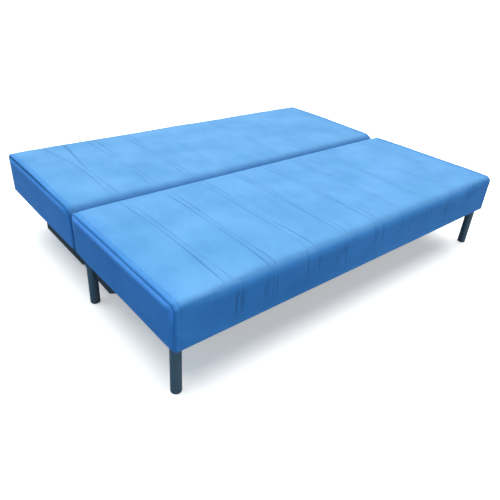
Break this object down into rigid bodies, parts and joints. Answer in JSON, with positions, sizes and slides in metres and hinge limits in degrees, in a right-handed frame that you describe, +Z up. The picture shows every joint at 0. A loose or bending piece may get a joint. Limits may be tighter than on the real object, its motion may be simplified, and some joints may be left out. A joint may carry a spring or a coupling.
{
  "type": "futon sofa bed",
  "caption": "Upholstered click-clack sofa bed lying flat: padded seat and folding padded back on round steel tube legs, hinged along the joint.",
  "frame": {"origin": "on the floor under the middle of the flat bed", "axes": "+X along the length (to the right seen from the seat's front), +Y from the seat's front edge to the back's rear edge, +Z up"},
  "size_m": [1.8, 1.39, 0.364],
  "materials": {
    "velvet": "short-pile velvet, soft sheen",
    "dust_cloth": "thin spun-bond cloth",
    "pine": "sawn, unfinished",
    "birch_slat": "laminated, smooth",
    "black_plastic": "moulded, matte",
    "felt": "needle felt",
    "foam": "open-cell foam",
    "leg_paint": "slate grey powder coat, semi-matte",
    "black_steel": "black paint, semi-matte",
    "hardened_steel": "blackened, oiled",
    "zinc": "bright zinc plate"
  },
  "bodies": {
    "seat": {"front_leg_glides": "black_plastic", "front_leg_left": "leg_paint", "front_leg_plates": "leg_paint", "front_leg_right": "leg_paint", "front_leg_screws": "zinc", "mid_leg_bolts": "zinc", "mid_leg_glides": "black_plastic", "mid_leg_left": "leg_paint", "mid_leg_right": "leg_paint", "pivot_bolts": "zinc", "pivot_nuts": "zinc", "pivot_washers": "zinc", "ratchet_left": "hardened_steel", "ratchet_right": "hardened_steel", "seat_corner_blocks": "pine", "seat_cover": "velvet", "seat_cross_rails": "pine", "seat_dust_cover": "dust_cloth", "seat_end_panel_left": "velvet", "seat_end_panel_right": "velvet", "seat_felt_pad": "felt", "seat_foam": "foam", "seat_front_rail": "pine", "seat_left_rail": "pine", "seat_plate_bolts": "zinc", "seat_plate_left": "black_steel", "seat_plate_right": "black_steel", "seat_rear_rail": "pine", "seat_right_rail": "pine", "seat_slat_holders": "black_plastic", "seat_slats": "birch_slat"},
    "back": {"back_corner_blocks": "pine", "back_cover": "velvet", "back_cross_rails": "pine", "back_dust_cover": "dust_cloth", "back_end_panel_left": "velvet", "back_end_panel_right": "velvet", "back_felt_pad": "felt", "back_foam": "foam", "back_front_rail": "pine", "back_left_rail": "pine", "back_plate_bolts": "zinc", "back_plate_left": "black_steel", "back_plate_right": "black_steel", "back_rear_rail": "pine", "back_right_rail": "pine", "back_slat_holders": "black_plastic", "back_slats": "birch_slat", "pawl_pins": "zinc", "pawl_springs": "zinc", "rear_leg_brackets": "black_steel", "rear_leg_screws": "zinc", "rear_leg_bolts": "zinc"},
    "pawl_left": {"pawl_left": "hardened_steel"},
    "pawl_right": {"pawl_right": "hardened_steel"},
    "rear_leg_left": {"rear_leg_left": "leg_paint", "rear_glide_left": "black_plastic"},
    "rear_leg_right": {"rear_leg_right": "leg_paint", "rear_glide_right": "black_plastic"}
  },
  "joints": [
    {"name": "back_fold", "type": "hinge", "parent": "seat", "child": "back", "pos_m": [0, 0.01, 0.334], "axis": [1, 0, 0], "range_deg": [0, 75]},
    {"name": "pawl_right_click", "type": "hinge", "parent": "back", "child": "pawl_right", "pos_m": [0.88, 0.0365, 0.312], "axis": [1, 0, 0], "range_deg": [0, 8], "stiffness_Nm_per_rad": 0.05},
    {"name": "pawl_left_click", "type": "hinge", "parent": "back", "child": "pawl_left", "pos_m": [-0.88, 0.0365, 0.312], "axis": [1, 0, 0], "range_deg": [0, 8], "stiffness_Nm_per_rad": 0.05},
    {"name": "rear_leg_right_fold", "type": "hinge", "parent": "back", "child": "rear_leg_right", "pos_m": [0.46, 0.597, 0.17], "axis": [-1, 0, 0], "range_deg": [0, 90]},
    {"name": "rear_leg_left_fold", "type": "hinge", "parent": "back", "child": "rear_leg_left", "pos_m": [-0.46, 0.597, 0.17], "axis": [-1, 0, 0], "range_deg": [0, 90]}
  ]
}
